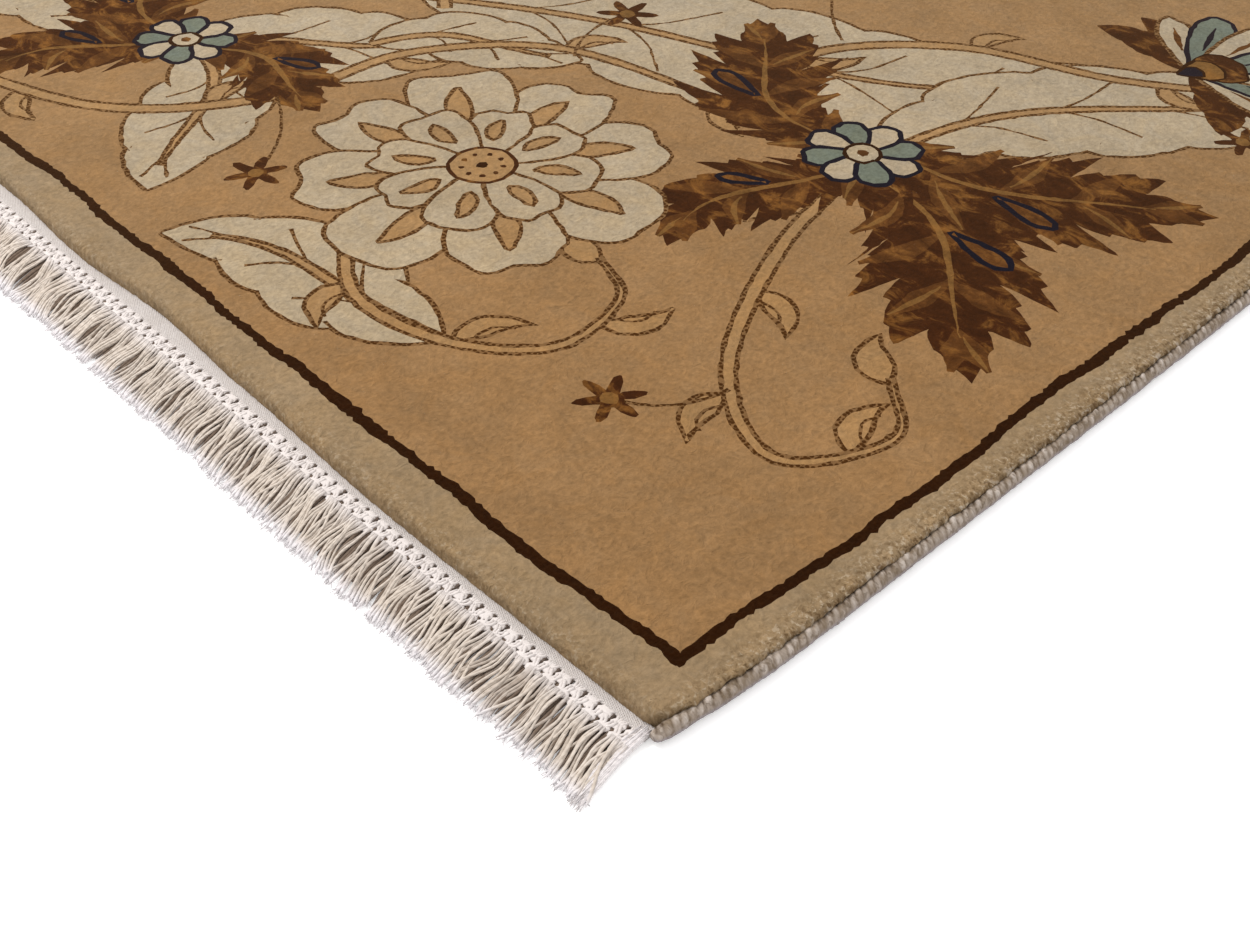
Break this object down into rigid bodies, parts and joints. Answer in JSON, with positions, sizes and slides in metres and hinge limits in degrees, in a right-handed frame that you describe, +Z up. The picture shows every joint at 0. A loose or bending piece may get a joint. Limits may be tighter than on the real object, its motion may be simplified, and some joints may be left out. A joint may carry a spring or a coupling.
{
  "type": "hand-knotted rug",
  "caption": "Flat rectangular wool pile rug with a dark frame line, an overcast cord along each side and a knotted white fringe at each end.",
  "frame": {"origin": "on the floor, under the middle of the rug", "axes": "+X across the width, +Y along the length, +Z up from the floor; the corner in the picture is the one at +X, -Y"},
  "size_m": [1.4, 2.113, 0.013],
  "materials": {
    "wool_pile": "matte cut wool pile",
    "wool_overcast": "matte wrapped wool yarn",
    "cotton_fringe": "matte twisted cotton"
  },
  "bodies": {
    "root": {"knotted_carpet": "wool_pile", "side_cord_right": "wool_overcast", "side_cord_left": "wool_overcast", "fringe_front": "cotton_fringe", "fringe_back": "cotton_fringe"}
  },
  "joints": []
}
